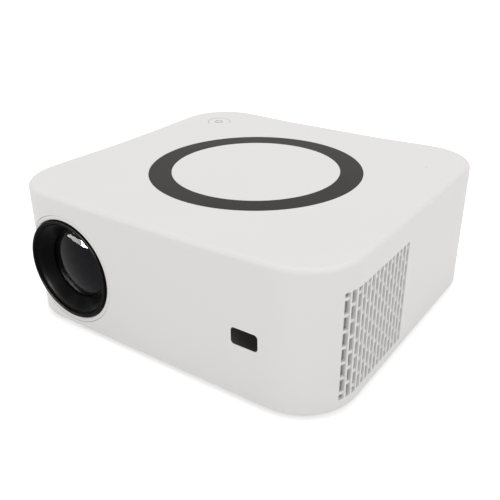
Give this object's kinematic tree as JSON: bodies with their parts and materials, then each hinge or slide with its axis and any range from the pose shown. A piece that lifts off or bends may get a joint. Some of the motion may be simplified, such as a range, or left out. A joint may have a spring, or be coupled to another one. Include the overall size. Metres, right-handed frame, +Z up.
{
  "type": "projector with built in disc player",
  "caption": "White rounded box projector with a front lens, vented side, ringed top and a slim disc tray that slides out of its left side.",
  "frame": {"origin": "on the table, under the middle of the whole part", "axes": "+Z up, lens looks along -Y, disc tray opens along -X"},
  "size_m": [0.23, 0.2168, 0.0893],
  "materials": {
    "white_shell": "fine satin moulded white",
    "grey_shell": "satin moulded light grey",
    "dark_ring": "smooth satin dark grey",
    "ir_black": "polished, lets infrared through",
    "light_pipe": "clear moulded",
    "black_rim": "satin black moulded",
    "black_part": "moulded black",
    "optical_glass": "polished, coated",
    "optical_sheet": "moulded lens sheet",
    "mirror_face": "front silvered",
    "lcd": "dark panel in a frame",
    "aluminium": "extruded and die cast",
    "steel_sheet": "zinc plated sheet",
    "steel_bar": "ground",
    "board": "glass fibre circuit board with parts",
    "brass": "turned",
    "black_rubber": "moulded",
    "speaker_metal": "black pressed basket",
    "cone_paper": "black pressed paper",
    "filter_foam": "open cell foam",
    "net_grey": "fine woven net"
  },
  "bodies": {
    "projector": {"upper_shell": "white_shell", "bottom_cover": "grey_shell", "rear_panel": "grey_shell", "ring_inlay": "dark_ring", "ir_window": "ir_black", "ir_receiver": "board", "status_light": "light_pipe", "button_board": "board", "lens_bezel": "white_shell", "lens_holder": "black_part", "engine_housing": "black_part", "engine_lid": "black_part", "fold_mirror": "mirror_face", "field_lens": "optical_sheet", "lcd_panel": "lcd", "collimator_lens": "optical_sheet", "heat_glass": "optical_glass", "condenser_lens": "optical_glass", "led_module": "aluminium", "heat_sink": "aluminium", "fan_frame": "black_part", "main_board": "board", "power_board": "board", "ac_inlet": "black_part", "hdmi_socket": "steel_sheet", "usb_sockets": "steel_sheet", "audio_jacks": "black_part", "speaker_frames": "speaker_metal", "speaker_cones": "cone_paper", "dust_filter": "filter_foam", "vent_net": "net_grey", "drive_deck": "steel_sheet", "drive_chassis": "steel_sheet", "drive_cover": "steel_sheet", "rubber_feet": "black_rubber", "foot_insert": "brass", "tripod_insert": "brass", "case_screws": "steel_bar"},
    "focus_carriage": {"focus_carriage": "aluminium"},
    "focus_barrel": {"focus_barrel": "black_rim", "barrel_retainer": "steel_sheet", "front_glass": "optical_glass", "rear_lens": "optical_glass"},
    "power_button": {"power_button": "white_shell"},
    "fan_rotor": {"fan_rotor": "black_part"},
    "slide_rails": {"slide_rails": "steel_sheet"},
    "disc_tray": {"disc_tray": "black_part", "tray_bezel": "white_shell", "spindle_motor": "steel_sheet", "guide_rods": "steel_bar", "sled_motor": "steel_sheet"},
    "turntable": {"turntable_hub": "black_part"},
    "pickup_sled": {"pickup_sled": "aluminium"},
    "lead_screw": {"lead_screw": "steel_bar"},
    "eject_button": {"eject_button": "grey_shell"},
    "foot_tip": {"foot_tip": "black_rubber"},
    "foot_stud": {"foot_stud": "steel_bar"}
  },
  "joints": [
    {"name": "tray_slide", "type": "slide", "parent": "projector", "child": "disc_tray", "axis": [-1, 0, 0], "range_m": [0, 0.126]},
    {"name": "rail_slide", "type": "slide", "parent": "projector", "child": "slide_rails", "axis": [-1, 0, 0], "range_m": [0, 0.063]},
    {"name": "turntable_spin", "type": "hinge", "parent": "disc_tray", "child": "turntable", "pos_m": [-0.05, 0.0004, 0.0775], "axis": [0, 0, 1], "continuous": true},
    {"name": "sled_slide", "type": "slide", "parent": "disc_tray", "child": "pickup_sled", "axis": [0.7071, -0.7071, 0], "range_m": [0, 0.032]},
    {"name": "lead_screw_turn", "type": "hinge", "parent": "disc_tray", "child": "lead_screw", "pos_m": [-0.03904, -0.03107, 0.0738], "axis": [0.7071, -0.7071, 0], "range_deg": [0, 3841]},
    {"name": "eject_press", "type": "slide", "parent": "disc_tray", "child": "eject_button", "axis": [1, 0, 0], "range_m": [0, 0.001], "stiffness_N_per_m": 800},
    {"name": "power_press", "type": "slide", "parent": "projector", "child": "power_button", "axis": [0, 0, -1], "range_m": [0, 0.0008], "stiffness_N_per_m": 800},
    {"name": "focus_slide", "type": "slide", "parent": "projector", "child": "focus_carriage", "axis": [0, -1, 0], "range_m": [0, 0.005]},
    {"name": "focus_turn", "type": "hinge", "parent": "focus_carriage", "child": "focus_barrel", "pos_m": [-0.066, -0.0976, 0.0418], "axis": [0, -1, 0], "range_deg": [0, 120]},
    {"name": "fan_spin", "type": "hinge", "parent": "projector", "child": "fan_rotor", "pos_m": [0.093, -0.05, 0.0412], "axis": [1, 0, 0], "continuous": true},
    {"name": "foot_slide", "type": "slide", "parent": "projector", "child": "foot_tip", "axis": [0, 0, -1], "range_m": [0, 0.01]},
    {"name": "foot_turn", "type": "hinge", "parent": "foot_tip", "child": "foot_stud", "pos_m": [0, -0.088, 0.003], "axis": [0, 0, -1], "range_deg": [0, 2881]}
  ],
  "couplings": [
    {"joint": "rail_slide", "follows": "tray_slide", "ratio": 0.5},
    {"joint": "lead_screw_turn", "follows": "sled_slide", "rad_per_m": 2094.4},
    {"joint": "focus_slide", "follows": "focus_turn", "m_per_rad": 0.0023873},
    {"joint": "foot_turn", "follows": "foot_slide", "rad_per_m": 5026.5}
  ]
}
